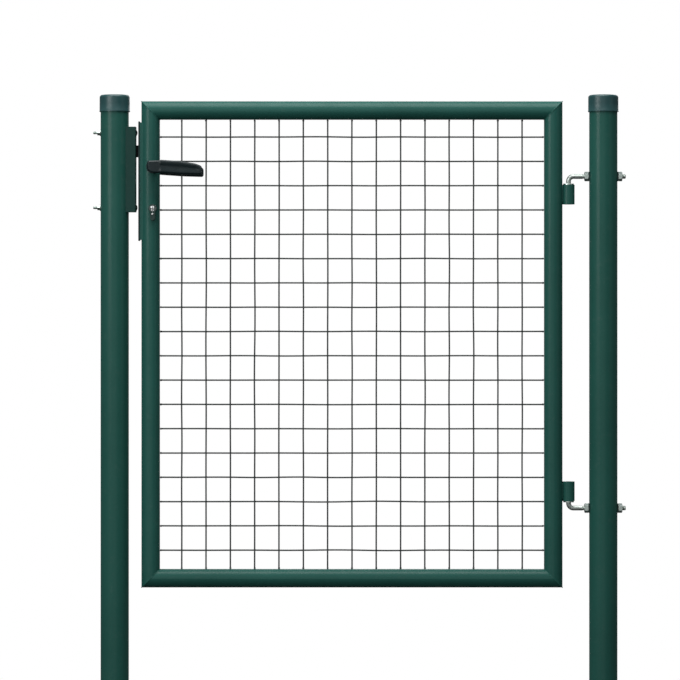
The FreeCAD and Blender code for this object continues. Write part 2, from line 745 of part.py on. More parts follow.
def keep_fasteners():
    """Two dome-headed bolts through the channel and the post, with a washer and nut each."""
    bolts, washers, nuts = [], [], []
    for place in ("upper", "lower"):
        height = f"keep_{place}_bolt_z"
        shank = cylinder(f"{place}_shank", "keep_bolt_dia",
                         "keep_face_x - post_left_x + keep_bolt_tail",
                         "post_left_x - keep_bolt_tail", "0", height, ALONG_X)
        dome = doc.addObject("Part::Sphere", f"{place}_dome_ball")
        radius = "( ( keep_head_dia / 2 )^2 + keep_head_rise^2 ) / ( 2 * keep_head_rise )"
        tie(dome, Radius=radius)
        put(dome, x=f"keep_face_x + keep_head_rise - {radius}", z=height)
        limit = cylinder(f"{place}_dome_limit", "keep_head_dia + cut_past",
                         "keep_head_rise + cut_past", "keep_face_x", "0", height, ALONG_X)
        head = common(f"{place}_dome", dome, limit)
        bolts.append(fuse(f"{place}_keep_bolt", shank, head))
        washer_x = "post_left_x - keep_washer_thick"
        washers.append(washer(f"{place}_keep_washer", "keep_washer_dia", "keep_bolt_dia",
                            "keep_washer_thick", washer_x, "0", height, ALONG_X))
        nut_x = washer_x + " - keep_nut_thick"
        blank = hexagon(f"{place}_keep_blank", "keep_nut_flats", "keep_nut_thick", nut_x, "0",
                        height)
        bore = cylinder(f"{place}_keep_nut_bore", "keep_bolt_dia", "keep_nut_thick", nut_x, "0",
                        height, ALONG_X)
        nuts.append(cut(f"{place}_keep_nut", blank, bore))
    add_part("keep_bolts", group("keep_bolts", *bolts))
    add_part("keep_washers", group("keep_washers", *washers))
    add_part("keep_nuts", group("keep_nuts", *nuts))


# ---------------------------------------------------------------- lock
def bolt_windows(owner, x, deep):
    """Openings along X for the latch, the deadbolt and the cylinder's fixing screw."""
    windows = []
    for name in ("latch", "deadbolt"):
        tall = f"{name}_tall + 2 * slide_play"
        thick = f"{name}_thick + 2 * slide_play"
        windows.append(box(f"{owner}_{name}_window", deep, thick, tall, x,
                           f"-1 * ( {thick} ) / 2", f"{name}_z - ( {tall} ) / 2"))
    windows.append(cylinder(f"{owner}_screw_hole", "screw_dia", deep, x, "0",
                             "fixing_screw_z", ALONG_X))
    return windows


def lock_pocket():
    """The welded sleeve in the stile that holds the lock: two cheeks and two solid ends."""
    deep = "pocket_back_x - plate_back_x"
    sleeve = box("pocket_sleeve", deep, "pocket_width", "pocket_top_z - pocket_low_z",
                 "plate_back_x", "-1 * pocket_width / 2", "pocket_low_z")
    room_wide = "pocket_width - 2 * pocket_wall"
    room = box("pocket_room", deep + " + 2 * cut_past", room_wide,
               "pocket_top_z - pocket_low_z - 2 * pocket_end", "plate_back_x - cut_past",
               f"-1 * ( {room_wide} ) / 2", "pocket_low_z + pocket_end")
    threads = [cylinder(f"pocket_{place}_thread", "screw_dia", "plate_screw_grip + cut_past",
                        "plate_back_x", "0", place + "_screw_z", ALONG_X)
               for place in ("upper", "lower")]
    add_part("lock_pocket", cut("lock_pocket", sleeve, room, *threads,
                                *lock_openings("pocket", "pocket_width")))


CASE_SCREWS = [("plate_back_x + case_screw_inset", "case_top_z - case_screw_drop"),
               ("case_back_x - case_screw_inset", "case_top_z - case_screw_drop"),
               ("plate_back_x + case_screw_inset", "case_low_z + case_screw_rise"),
               ("case_back_x - middle_screw_inset", "spindle_z - middle_screw_drop")]


def lock_case():
    """The lock's folded shell, open at the back, with hollow posts for the cover's screws."""
    deep = "case_back_x - plate_back_x"
    tall = "case_top_z - case_low_z"
    front_y = "-1 * case_thick / 2"
    shell = box("case_shell", deep, "case_thick - case_wall", tall, "plate_back_x", front_y,
                "case_low_z")
    room = box("case_room", deep + " - 2 * case_wall", "case_thick", tall + " - 2 * case_wall",
               "plate_back_x + case_wall", front_y + " + case_wall", "case_low_z + case_wall")
    journal = cylinder("case_journal_hole", "journal_dia + 2 * turn_play", "case_thick",
                       "spindle_x", front_y + " - cut_past", "spindle_z", ALONG_Y)
    cam_window = box("case_cam_window", "case_wall + 2 * cut_past", "cam_thick + 2 * cam_gap",
                     "2 * ( cam_reach + cam_gap )", "case_back_x - case_wall - cut_past",
                     "-1 * cam_thick / 2 - cam_gap", "cylinder_z - cam_reach - cam_gap")
    hollow = cut("case_hollow", shell, room, journal, cam_window,
                 *bolt_windows("case", "plate_back_x - cut_past", "case_wall + 2 * cut_past"),
                 *profile_cylinder("case_profile", "case_thick + 2 * cut_past", "case_play"))
    posts, threads = [], []
    for n, (x, z) in enumerate(CASE_SCREWS):
        posts.append(cylinder(f"case_screw_post_{n}", "case_post_dia",
                              "case_thick - 2 * case_wall", x, front_y + " + case_wall", z,
                              ALONG_Y))
        threads.append(cylinder(f"case_thread_{n}", "case_screw_dia", "case_thick", x,
                                front_y + " + case_wall + case_screw_floor", z, ALONG_Y))
    add_part("lock_case", cut("lock_case", fuse("case_with_posts", hollow, *posts), *threads))


def lock_case_cover():
    """The lock's flat back cover and the small screws that hold it to the shell."""
    plate = box("cover_plate", "case_back_x - plate_back_x", "case_wall",
                "case_top_z - case_low_z", "plate_back_x", "case_thick / 2 - case_wall",
                "case_low_z")
    journal = cylinder("cover_journal_hole", "journal_dia + 2 * turn_play", "case_thick",
                       "spindle_x", "0", "spindle_z", ALONG_Y)
    holes, screws = [], []
    for n, (x, z) in enumerate(CASE_SCREWS):
        holes.append(cylinder(f"cover_hole_{n}", "case_screw_dia", "case_thick", x, "0", z,
                              ALONG_Y))
        shank = cylinder(f"cover_screw_shank_{n}", "case_screw_dia",
                         "case_thick - case_wall - case_screw_floor", x,
                         "-1 * case_thick / 2 + case_wall + case_screw_floor", z, ALONG_Y)
        head = cylinder(f"cover_screw_head_{n}", "case_screw_head_dia", "case_screw_head", x,
                        "case_thick / 2", z, ALONG_Y)
        screws.append(fuse(f"cover_screw_{n}", shank, head))
    add_part("lock_case_cover",
             cut("lock_case_cover", plate, journal, *holes,
                 *profile_cylinder("cover_profile", "case_thick + 2 * cut_past", "case_play")))
    add_part("lock_case_screws", group("lock_case_screws", *screws))


def countersunk_screw(name, height):
    """A countersunk screw along +X, its head level with the faceplate."""
    head = doc.addObject("Part::Cone", name + "_head")
    tie(head, Radius1="screw_head_dia / 2", Radius2="screw_dia / 2", Height="screw_head_deep")
    put(head, x="plate_face_x", z=height, turn=ALONG_X)
    shank = cylinder(name + "_shank", "screw_dia", "plate_thick + plate_screw_grip",
                     "plate_face_x", "0", height, ALONG_X)
    return fuse(name, head, shank)


def faceplate():
    """The lock's front strip on the leaf's edge, with its two countersunk screws."""
    strip = box("faceplate_strip", "plate_thick", "plate_width", "plate_height", "plate_face_x",
                "-1 * plate_width / 2", "plate_low_z")
    seats = [countersunk_screw(f"{place}_screw_seat", place + "_screw_z")
             for place in ("upper", "lower")]
    screws = [countersunk_screw(f"{place}_plate_screw", place + "_screw_z")
              for place in ("upper", "lower")]
    windows = bolt_windows("faceplate", "plate_face_x - cut_past", "plate_thick + 2 * cut_past")
    add_part("faceplate", cut("faceplate", strip, *seats, *windows))
    add_part("faceplate_screws", group("faceplate_screws", *screws))


def latch():
    """The sprung latch: a bevelled head, a guide tail and a lug that the follower's arm pulls."""
    body = new_body("latch_head")
    outline = sketch_on(body, "XY_Plane", "latch_outline", lift="latch_low_z")
    half = "latch_thick / 2"
    draw_outline(outline, [("latch_tip_x", f"-1 * {half}"), ("latch_back_x", f"-1 * {half}"),
                           ("latch_back_x", half), ("latch_tip_x + latch_bevel", half),
                           ("latch_tip_x", f"-1 * {half} + latch_nose")])
    pad(body, outline, "latch_tall")
    tail = cylinder("latch_tail", "latch_tail_dia", "latch_tail_long", "latch_back_x", "0",
                    "latch_z", ALONG_X)
    carrier = box("latch_carrier", "lug_x + lug_thick - latch_back_x", "lug_wide",
                  "carrier_tall", "latch_back_x", "-1 * lug_wide / 2", "latch_low_z")
    lug = box("latch_lug", "lug_thick", "lug_wide", "latch_low_z + carrier_tall - lug_low_z",
              "lug_x", "-1 * lug_wide / 2", "lug_low_z")
    add_part("latch_bolt", fuse("latch_bolt", body, tail, carrier, lug))
    coil = doc.addObject("Part::Feature", "latch_spring")
    coil.Shape = spring_shape(*measure(["spring_wire", "spring_dia", "spring_turns",
                                        "spring_long"]))
    add_part("latch_spring", put(coil, x="latch_back_x + spring_wire", z="latch_z", turn=ALONG_X))


def spring_shape(wire, mean, turns, long):
    """A compression spring along +Z: a round wire swept along a helix, a wire short at each end."""
    rise = long - 2 * wire
    helix = Part.makeHelix(rise / turns, rise, mean / 2)
    start = Vector(mean / 2, 0, 0)
    section = Part.Wire(Part.makeCircle(wire / 2, start, Vector(0, 1, 0)))
    return Part.Wire(helix).makePipeShell([section], True, True)


def deadbolt():
    """The key-thrown bolt, drawn back flush with the faceplate."""
    bar = box("deadbolt_bar", "deadbolt_long", "deadbolt_thick", "deadbolt_tall", "plate_face_x",
              "-1 * deadbolt_thick / 2", "deadbolt_z - deadbolt_tall / 2")
    add_part("deadbolt_bar", bar)


def cylinder_housing():
    """A profile cylinder's fixed body, bored for the plugs and notched for the cam."""
    barrel = profile_cylinder("housing", "cylinder_long", "0")
    bore = cylinder("housing_bore", "plug_dia + 2 * turn_play", "cylinder_long + 2 * cut_past",
                    "spindle_x", "-1 * cylinder_long / 2 - cut_past", "cylinder_z", ALONG_Y)
    cam_room = box("housing_cam_room", "cylinder_dia + 2 * cut_past", "cam_thick + 2 * cam_gap",
                   "cam_reach + cam_gap + cylinder_dia", "spindle_x - cylinder_dia / 2 - cut_past",
                   "-1 * cam_thick / 2 - cam_gap", "cylinder_z - cam_reach - cam_gap")
    thread_x = "spindle_x - cylinder_tail_wide / 2 - cut_past"
    thread = cylinder("housing_thread", "screw_dia", f"fixing_screw_end_x - ( {thread_x} )",
                      thread_x, "0", "fixing_screw_z", ALONG_X)
    add_part("cylinder_housing", cut("cylinder_housing", fuse("housing_whole", *barrel), bore,
                                     cam_room, thread))
    add_part("cylinder_screw", cylinder("cylinder_screw", "screw_dia",
                                        "fixing_screw_end_x - plate_face_x", "plate_face_x", "0",
                                        "fixing_screw_z", ALONG_X))


def cylinder_plugs():
    """Two plugs with a key slot each, and between them the cam that throws the deadbolt."""
    end = "( cylinder_long / 2 + plug_proud )"
    slot_z = "cylinder_z - key_slot_tall / 2 - key_slot_low"
    for label, start, mouth in (("front_plug", f"-1 * {end}", f"-1 * {end}"),
                                ("back_plug", "cam_thick / 2", f"{end} - key_slot_deep")):
        bar = cylinder(label + "_bar", "plug_dia", f"{end} - cam_thick / 2", "spindle_x", start,
                       "cylinder_z", ALONG_Y)
        slot = box(label + "_slot", "key_slot_wide", "key_slot_deep", "key_slot_tall",
                   "spindle_x - key_slot_wide / 2", mouth, slot_z)
        add_part(label, cut(label, bar, slot))
    disc = cylinder("cam_disc", "plug_dia", "cam_thick", "spindle_x", "-1 * cam_thick / 2",
                    "cylinder_z", ALONG_Y)
    lobe = box("cam_lobe", "cam_lobe_wide", "cam_thick", "cam_lobe_long",
               "spindle_x - cam_lobe_wide / 2", "-1 * cam_thick / 2", "cylinder_z - cam_lobe_long")
    add_part("cylinder_cam", fuse("cylinder_cam", disc, lobe))


# ---------------------------------------------------------------- handles
def handle_bush(label, side):
    """A flanged nylon ring in the stile, in which the handle's neck turns."""
    turn = ALONG_Y if side > 0 else TOWARDS_FRONT
    flange = cylinder(label + "_flange", "bush_flange_dia", "bush_flange_thick", "spindle_x",
                      f"{side} * flange_back_y", "spindle_z", turn)
    inner_y = "( case_thick / 2 + slide_play )"
    sleeve = cylinder(label + "_sleeve", "bush_dia", f"flange_back_y - {inner_y}", "spindle_x",
                      f"{side} * {inner_y}", "spindle_z", turn)
    bore = cylinder(label + "_bore", "neck_dia + 2 * turn_play", "frame_dia", "spindle_x",
                    "0", "spindle_z", turn)
    add_part(label, cut(label, fuse(label + "_whole", flange, sleeve), bore))


def lever_grip():
    """The front lever's bar: round about the spindle, then straight and slightly drooping."""
    body = new_body("lever_grip")
    outline = sketch_on(body, "XZ_Plane", "lever_outline", lift="grip_stand")
    centre = Vector(amount("grip_root_x"), amount("grip_root_z"), 0)
    radius = amount("grip_tall") / 2
    round_end = outline.addGeometry(Part.Arc(centre + Vector(0, radius, 0),
                                             centre - Vector(radius, 0, 0),
                                             centre - Vector(0, radius, 0)))
    corners = [("grip_root_x", "grip_root_z + grip_tall / 2"),
               ("grip_tip_x - grip_nose", "grip_tip_z + grip_tip_tall / 2"),
               ("grip_tip_x", "grip_tip_z"),
               ("grip_tip_x - grip_nose", "grip_tip_z - grip_tip_tall / 2"),
               ("grip_root_x", "grip_root_z - grip_tall / 2")]
    numbers = measure([formula for corner in corners for formula in corner])
    points = [Vector(x, z, 0) for x, z in zip(numbers[0::2], numbers[1::2])]
    lines = [outline.addGeometry(Part.LineSegment(start, end))
             for start, end in zip(points, points[1:])]
    constrain(outline, "Coincident", round_end, 1, lines[0], 1)
    constrain(outline, "Coincident", round_end, 2, lines[-1], 2)
    constrain(outline, "DistanceX", -1, 1, round_end, 3, centre.x, formula="grip_root_x")
    for line, after in zip(lines, lines[1:]):
        constrain(outline, "Coincident", line, 2, after, 1)
    ends = [(line, 1) for line in lines] + [(lines[-1], 2)]
    for (line, end), point, (across, up) in zip(ends, points, corners):
        constrain(outline, "DistanceX", -1, 1, line, end, point.x, formula=across)
        constrain(outline, "DistanceY", -1, 1, line, end, point.y, formula=up)
    bar = pad(body, outline, "grip_thick")

    def tip_corner(edge):
        along_depth = abs(edge.tangentAt(edge.FirstParameter).y) > MOSTLY
        return along_depth and edge.CenterOfMass.x > amount("grip_root_x") + NEAR

    def rim(edge):
        return edge.BoundBox.YLength < NEAR

    tip = round_edges(body, "lever_tip", bar, tip_corner, "grip_round")
    body.Tip = round_edges(body, "lever_rims", tip, rim, "grip_round")
    return body


def square_bar(name, long, start):
    """A bar or a hole of the spindle's square section, along +Y."""
    return box(name, "spindle_square", long, "spindle_square", "spindle_x - spindle_square / 2",
               start, "spindle_z - spindle_square / 2")


def levers():
    """Two mirrored levers on one square spindle, each held by a grub screw from below."""
    hub = cylinder("lever_hub", "hub_dia", "grip_stand + hub_sink - hub_back_y", "spindle_x",
                   "-1 * hub_back_y", "spindle_z", TOWARDS_FRONT)
    neck = cylinder("lever_neck", "neck_dia", "hub_back_y - case_thick / 2 - 2 * slide_play",
                    "spindle_x", "-1 * hub_back_y", "spindle_z", ALONG_Y)
    whole = fuse("lever_whole", hub, neck, lever_grip())
    square = square_bar("lever_square", "spindle_end_y", "-1 * spindle_end_y")
    grub_hole = cylinder("lever_grub_hole", "screw_dia", "hub_dia / 2", "spindle_x",
                         "-1 * grub_y", "spindle_z - hub_dia / 2")
    front = add_part("front_lever", cut("front_lever", whole, square, grub_hole))
    back = doc.addObject("Part::Mirroring", "back_lever")
    back.Source = front
    back.Normal = Vector(0, 1, 0)
    add_part("back_lever", back)
    add_part("spindle", square_bar("spindle", "2 * spindle_end_y", "-1 * spindle_end_y"))
    grubs = [cylinder(f"grub_{name}", "screw_dia", "( hub_dia - spindle_square ) / 2 - grub_sink",
                      "spindle_x", f"{side} * grub_y", "spindle_z - hub_dia / 2 + grub_sink")
             for name, side in (("front", "-1"), ("back", "1"))]
    add_part("grub_screws", group("grub_screws", *grubs))


def follower():
    """The disc on the spindle whose arm draws the latch back."""
    thick = "( case_thick - 2 * case_wall - 2 * follower_gap )"
    disc = cylinder("follower_disc", "follower_dia", thick, "spindle_x", f"-1 * {thick} / 2",
                    "spindle_z", ALONG_Y)
    journal = cylinder("follower_journal", "journal_dia", "case_thick", "spindle_x",
                       "-1 * case_thick / 2", "spindle_z", ALONG_Y)
    arm = box("follower_arm_bar", "follower_arm_wide", "follower_arm_wide", "follower_arm",
              "0", "0", "0")
    put(arm, x="spindle_x - arm_half * cos(follower_lean)", y="-1 * arm_half",
        z="spindle_z - arm_half * sin(follower_lean)",
        turn=Rotation(Vector(0, -1, 0), amount("follower_lean")))
    arm.setExpression("Placement.Rotation.Angle", tied("follower_lean"))
    square = square_bar("follower_square", "case_thick", "-1 * case_thick / 2")
    add_part("follower", cut("follower", fuse("follower_whole", disc, journal, arm), square))


# ---------------------------------------------------------------- assembly
def check_document():
    """Stops if any object failed, or any sub-part's shape is missing or broken."""
    for item in doc.Objects:
        if "Invalid" in item.State or "Error" in item.State:
            raise ValueError(f"{item.Name} failed: {item.State}")
    for label, item in parts.items():
        if item.Shape.isNull() or not item.Shape.isValid():
            raise ValueError(f"{label} has no valid shape")
        if not item.Shape.Solids:
            raise ValueError(f"{label} has no solid")


def write_parts():
    os.makedirs("parts", exist_ok=True)
    for label, item in parts.items():
        item.Shape.exportStep(f"parts/{label}.step")
        print(f"{label:22s} solids {len(item.Shape.Solids):3d}  volume {item.Shape.Volume:12.1f}")


post("left_post", -1, [("keep_bolt_dia", "keep_upper_bolt_z"),
                       ("keep_bolt_dia", "keep_lower_bolt_z")])
post("right_post", 1, [("pin_dia", "upper_pin_z"), ("pin_dia", "lower_pin_z")])
post_cap("left_post_cap", -1)
post_cap("right_post_cap", 1)
frame_tubes()
mesh()
hinges()
keep_channel()
keep_fasteners()
lock_pocket()
lock_case()
lock_case_cover()
faceplate()
latch()
deadbolt()
cylinder_housing()
cylinder_plugs()
handle_bush("front_bush", -1)
handle_bush("back_bush", 1)
levers()
follower()
doc.recompute()
check_document()
write_parts()
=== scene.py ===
import json
import math
import random

import bmesh
import bpy
from mathutils import Matrix, Vector


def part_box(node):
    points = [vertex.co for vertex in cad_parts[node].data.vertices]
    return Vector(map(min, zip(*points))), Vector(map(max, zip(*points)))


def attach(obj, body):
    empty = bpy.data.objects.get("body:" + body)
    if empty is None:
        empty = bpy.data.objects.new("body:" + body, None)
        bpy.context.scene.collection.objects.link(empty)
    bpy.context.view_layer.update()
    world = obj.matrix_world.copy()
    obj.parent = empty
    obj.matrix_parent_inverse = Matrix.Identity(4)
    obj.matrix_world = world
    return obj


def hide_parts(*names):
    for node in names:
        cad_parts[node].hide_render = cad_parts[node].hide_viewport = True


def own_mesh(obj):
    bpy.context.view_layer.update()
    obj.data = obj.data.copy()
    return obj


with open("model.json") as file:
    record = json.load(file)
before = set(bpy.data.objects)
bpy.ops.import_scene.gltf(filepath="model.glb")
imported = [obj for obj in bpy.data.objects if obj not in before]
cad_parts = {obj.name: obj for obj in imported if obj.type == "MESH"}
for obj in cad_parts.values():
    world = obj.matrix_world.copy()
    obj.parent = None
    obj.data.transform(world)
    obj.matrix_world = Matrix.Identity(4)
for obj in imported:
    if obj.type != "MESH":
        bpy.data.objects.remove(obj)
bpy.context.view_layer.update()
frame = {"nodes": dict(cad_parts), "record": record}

MM = 0.001


# ---------------------------------------------------------------- where things are
def middle(node):
    """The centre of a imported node's box."""
    low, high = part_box(node)
    return (low + high) / 2


# ---------------------------------------------------------------- material helpers
class Nodes:
    """A material's node tree, with short calls for the nodes that every finish here uses."""

    def __init__(self, name):
        self.material = bpy.data.materials.new(name)
        self.material.use_nodes = True
        self.tree = self.material.node_tree
        self.shader = self.tree.nodes["Principled BSDF"]
        self.place = self.add("ShaderNodeTexCoord").outputs["Object"]

    def add(self, kind, **settings):
        node = self.tree.nodes.new(kind)
        for name, value in settings.items():
            setattr(node, name, value)
        return node

    def join(self, output, socket):
        self.tree.links.new(output, socket)

    def stretched(self, scale):
        mapping = self.add("ShaderNodeMapping")
        mapping.inputs["Scale"].default_value = scale
        self.join(self.place, mapping.inputs["Vector"])
        return mapping.outputs["Vector"]

    def noise(self, scale, detail=3.0, roughness=0.55, place=None):
        node = self.add("ShaderNodeTexNoise")
        node.inputs["Scale"].default_value = scale
        node.inputs["Detail"].default_value = detail
        node.inputs["Roughness"].default_value = roughness
        self.join(place or self.place, node.inputs["Vector"])
        return node.outputs["Fac"]

    def cells(self, scale):
        node = self.add("ShaderNodeTexVoronoi")
        node.inputs["Scale"].default_value = scale
        self.join(self.place, node.inputs["Vector"])
        return node.outputs["Color"]

    def spread(self, value, low, high, start=0.3, end=0.7):
        """The value's stretch from start to end, spread over low to high."""
        node = self.add("ShaderNodeMapRange")
        for name, number in (("From Min", start), ("From Max", end),
                             ("To Min", low), ("To Max", high)):
            node.inputs[name].default_value = number
        self.join(value, node.inputs["Value"])
        return node.outputs["Result"]

    def blend(self, share, first, second):
        node = self.add("ShaderNodeMix", data_type="RGBA")
        self.join(share, node.inputs["Factor"])
        for socket, colour in ((node.inputs["A"], first), (node.inputs["B"], second)):
            if isinstance(colour, tuple):
                socket.default_value = (*colour, 1)
            else:
                self.join(colour, socket)
        return node.outputs["Result"]

    def math(self, operation, first, second):
        node = self.add("ShaderNodeMath", operation=operation)
        for socket, value in zip(node.inputs, (first, second)):
            if isinstance(value, (int, float)):
                socket.default_value = value
            else:
                self.join(value, socket)
        return node.outputs["Value"]

    def edges(self, radius, sharpness=0.06):
        """1 along sharp edges and 0 on the flats."""
        rounded = self.add("ShaderNodeBevel", samples=4)
        rounded.inputs["Radius"].default_value = radius
        plain = self.add("ShaderNodeNewGeometry")
        turn = self.add("ShaderNodeVectorMath", operation="DOT_PRODUCT")
        self.join(rounded.outputs["Normal"], turn.inputs[0])
        self.join(plain.outputs["Normal"], turn.inputs[1])
        return self.spread(turn.outputs["Value"], 1, 0, 1 - sharpness * 2, 1 - sharpness * 0.1)

    def relief(self, height, depth, strength=1.0, under=None):
        node = self.add("ShaderNodeBump")
        node.inputs["Distance"].default_value = depth
        node.inputs["Strength"].default_value = strength
        self.join(height, node.inputs["Height"])
        if under is not None:
            self.join(under, node.inputs["Normal"])
        return node.outputs["Normal"]

    def soft_edges(self, radius):
        node = self.add("ShaderNodeBevel", samples=4)
        node.inputs["Radius"].default_value = radius
        return node.outputs["Normal"]

    def finish(self, colour, roughness, normal=None, metallic=0.0, **numbers):
        """Joins the finished outputs to the shader and gives the material."""
        self.shader.inputs["Metallic"].default_value = metallic
        for name, number in numbers.items():
            self.shader.inputs[name.replace("_", " ")].default_value = number
        for name, output in (("Base Color", colour), ("Roughness", roughness),
                             ("Normal", normal)):
            if output is not None:
                self.join(output, self.shader.inputs[name])
        return self.material


def tint(colour, share):
    """The colour made darker or paler by share, each part kept within 1."""
    return tuple(min(1.0, part * share) for part in colour)


# ---------------------------------------------------------------- materials
def powder_coat(name, colour, gloss=0.50):
    """Baked green coating: faint orange peel, cloudy tone, dust and paler rubbed edges."""
    n = Nodes(name)
    clouds = n.spread(n.noise(4, detail=5), 0, 1)
    tone = n.blend(clouds, tint(colour, 0.88), tint(colour, 1.12))
    dust = n.spread(n.noise(60, detail=8, roughness=0.7), 0, 0.16, 0.55, 0.8)
    tone = n.blend(dust, tone, (0.09, 0.14, 0.12))
    grains = n.noise(900, detail=2)
    tone = n.blend(n.spread(grains, 0, 0.25, 0.45, 0.7), tone, tint(colour, 1.6))
    worn = n.math("MULTIPLY", n.edges(0.8 * MM), n.spread(n.noise(120, detail=6), 0, 0.7))
    tone = n.blend(worn, tone, tint(colour, 2.6))
    rough = n.spread(n.noise(35, detail=6), gloss - 0.06, gloss + 0.12)
    peel = n.relief(n.noise(420, detail=2), 0.05 * MM, 0.5)
    return n.finish(tone, rough, n.relief(grains, 0.02 * MM, 0.35, peel),
                    Specular_IOR_Level=0.14, Coat_Weight=0.18, Coat_Roughness=0.22)


def wire_coat(name, colour):
    """The thin coating on drawn wire: fine lengthwise streaks and small pale nicks."""
    n = Nodes(name)
    tone = n.blend(n.spread(n.noise(90, detail=6), 0, 1), tint(colour, 0.8), tint(colour, 1.25))
    nicks = n.spread(n.noise(300, detail=4, roughness=0.7), 0, 0.6, 0.62, 0.75)
    tone = n.blend(nicks, tone, (0.2, 0.23, 0.22))
    rough = n.spread(n.noise(200), 0.34, 0.55)
    return n.finish(tone, rough, n.relief(n.noise(700, detail=3), 0.04 * MM, 0.6))


def moulded(name, colour, gloss, grain, shine=0.3):
    """Moulded plastic: fine eroded grain, faint flow clouds, and edges painted paler as a painted
    sheen.
    """
    n = Nodes(name)
    tone = n.blend(n.spread(n.noise(25, detail=5), 0, 1), tint(colour, 0.85), tint(colour, 1.15))
    # Painted sheen: every edge is painted paler to stand for the shine of slightly polished edges.
    tone = n.blend(n.math("MULTIPLY", n.edges(1.0 * MM), 0.5), tone, tint(colour, 1.7))
    specks = n.noise(grain, detail=3, roughness=0.6)
    rough = n.spread(n.noise(80, detail=5), gloss - 0.05, gloss + 0.1)
    return n.finish(tone, rough, n.relief(specks, 0.03 * MM, 0.6, n.soft_edges(0.4 * MM)),
                    Specular_IOR_Level=shine)


def galvanised(name, colour):
    """Hot-dip zinc: grey crystals of differing tone, small lumps and a dull bloom."""
    n = Nodes(name)
    crystal = n.add("ShaderNodeRGBToBW")
    n.join(n.cells(260), crystal.inputs["Color"])
    flake = n.spread(crystal.outputs["Val"], 0, 1, 0.1, 0.9)
    tone = n.blend(flake, tint(colour, 0.72), tint(colour, 1.2))
    bloom = n.spread(n.noise(70, detail=6, roughness=0.65), 0, 0.7, 0.45, 0.7)
    tone = n.blend(bloom, tone, (0.34, 0.37, 0.35))
    rough = n.spread(n.noise(150, detail=4), 0.3, 0.52)
    lumps = n.relief(n.noise(220, detail=3), 0.12 * MM, 0.5, n.soft_edges(0.3 * MM))
    return n.finish(tone, rough, lumps, metallic=0.85)


def plated(name, colour, gloss, streaks=(1, 1, 1), rub=1.5):
    """Plated or ground steel: drawn streaks, stains and bright rubbed edges."""
    n = Nodes(name)
    stains = n.spread(n.noise(85, detail=7, roughness=0.65), 0, 1)
    tone = n.blend(stains, tint(colour, 0.78), tint(colour, 1.12))
    tone = n.blend(n.edges(0.35 * MM), tone, tint(colour, rub))
    lines = n.noise(500, detail=3, place=n.stretched(streaks))
    rough = n.spread(lines, gloss - 0.07, gloss + 0.13)
    return n.finish(tone, rough, n.relief(lines, 0.02 * MM, 0.5, n.soft_edges(0.25 * MM)),
                    metallic=1.0)


FINISHES = {
    "post_paint": powder_coat("moss green coating", (0.013, 0.083, 0.065)),
    "frame_paint": powder_coat("leaf green coating", (0.014, 0.086, 0.069)),
    # The keep's coating is a darker copy of the frame's green: painted shade for the shade the keep
    # sits in beside the post.
    "keep_paint": powder_coat("green coating darkened as painted shade", (0.006, 0.038, 0.031), 0.58),
    "wire_paint": wire_coat("coated wire", (0.026, 0.034, 0.032)),
    "saddle_plastic": moulded("saddle plastic", (0.010, 0.028, 0.024), 0.5, 900),
    "cap_plastic": moulded("green cap plastic", (0.013, 0.060, 0.062), 0.36, 900, shine=0.5),
    "handle_black": moulded("black handle nylon", (0.005, 0.013, 0.015), 0.38, 1500),
    "zinc": plated("zinc plating", (0.56, 0.64, 0.60), 0.33),
    "galvanised": galvanised("hot dip zinc", (0.54, 0.60, 0.56)),
    "lock_steel": plated("dull zinc sheet", (0.030, 0.048, 0.048), 0.42, (1, 1, 12)),
    "bolt_steel": plated("dark sintered steel", (0.012, 0.013, 0.013), 0.40),
    # The cylinder housing is coloured a dark green-grey, far darker than bare nickel.
    "cylinder_body": plated("dark green-grey nickel", (0.045, 0.07, 0.065), 0.36),
    "nickel": plated("nickel", (0.13, 0.155, 0.15), 0.26),
}
BRIGHT_NICKEL = plated("bright nickel", (0.92, 0.93, 0.91), 0.18)
SLOTS = {part["node"]: part["material_slot"] for part in frame["record"]["subparts"]}


def dress_nodes():
    """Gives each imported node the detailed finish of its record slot."""
    for node, item in frame["nodes"].items():
        item.data.materials.clear()
        item.data.materials.append(FINISHES[SLOTS[node]])


# ---------------------------------------------------------------- mesh helpers
# Each turns a shape drawn along Z so that it lies along the named axis.
AROUND_X = Matrix(((0, 0, 1), (0, 1, 0), (-1, 0, 0)))
AROUND_Y = Matrix(((1, 0, 0), (0, 0, 1), (0, 1, 0)))
AROUND_Z = Matrix.Identity(3)


